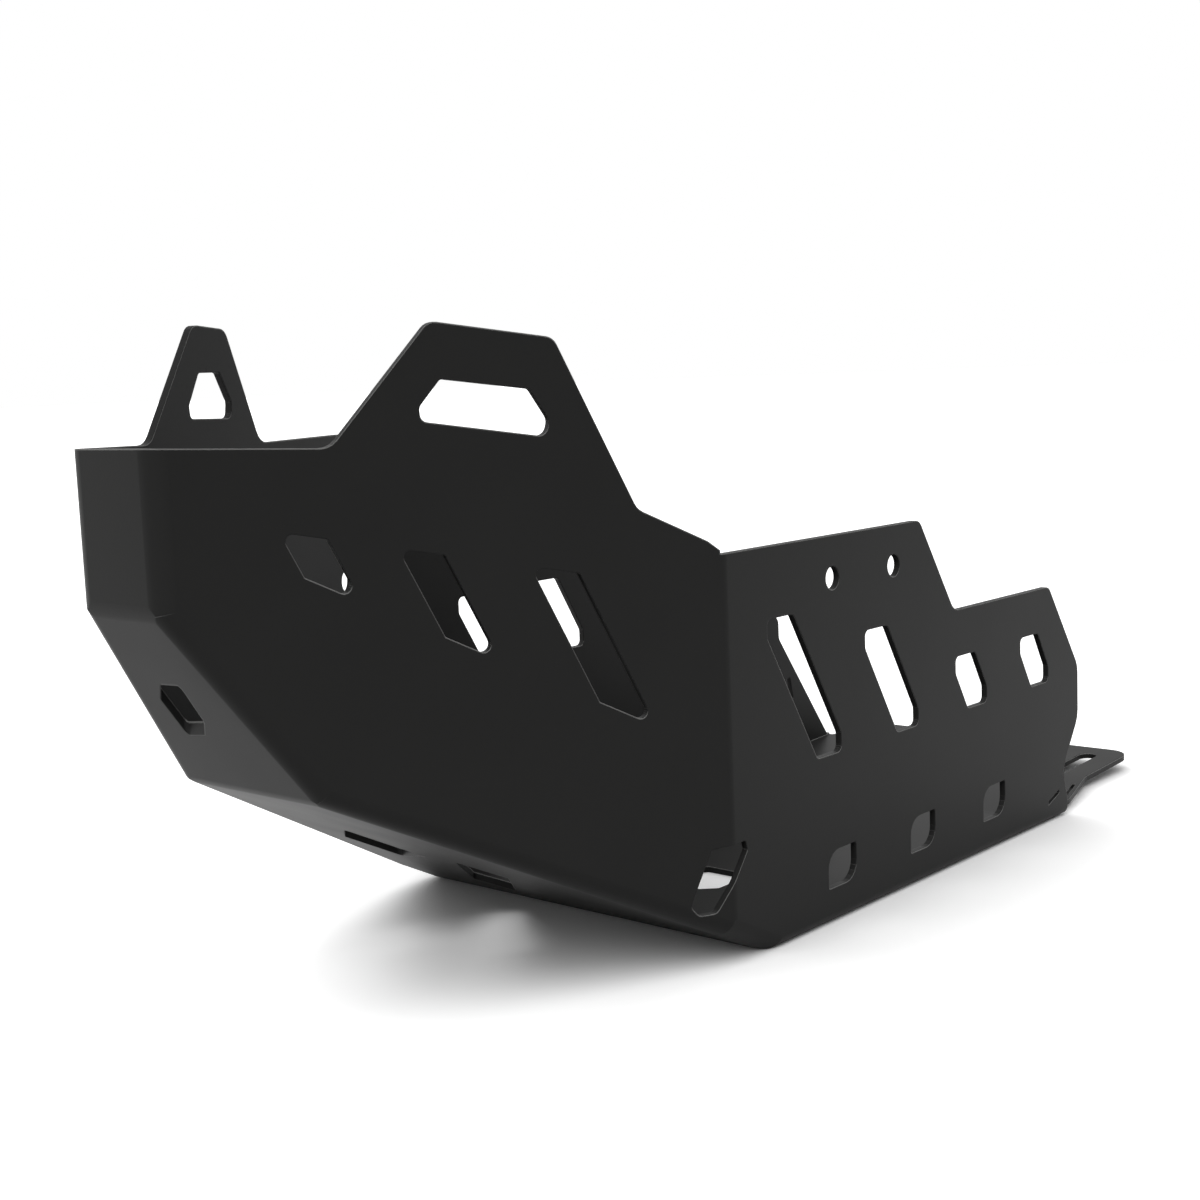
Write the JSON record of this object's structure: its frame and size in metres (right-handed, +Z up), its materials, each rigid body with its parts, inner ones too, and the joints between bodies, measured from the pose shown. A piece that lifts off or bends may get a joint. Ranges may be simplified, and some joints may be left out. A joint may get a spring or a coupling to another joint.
{
  "type": "motorcycle skid plate",
  "caption": "Folded sheet-metal skid plate: a slotted tray that guards a motorcycle's engine from below, open above and behind, with upright ears and a slightly raised rear tongue.",
  "frame": {"origin": "bottom centre of the bounding box, on the surface that the floor rests on", "axes": "+X across the machine towards the side with the two round holes, +Y from the upright front strip to the tongue, +Z up"},
  "size_m": [0.212, 0.6384, 0.2753],
  "materials": {
    "black_coat": "satin black powder coat on folded aluminium sheet"
  },
  "bodies": {
    "root": {"skid_plate": "black_coat"}
  },
  "joints": []
}
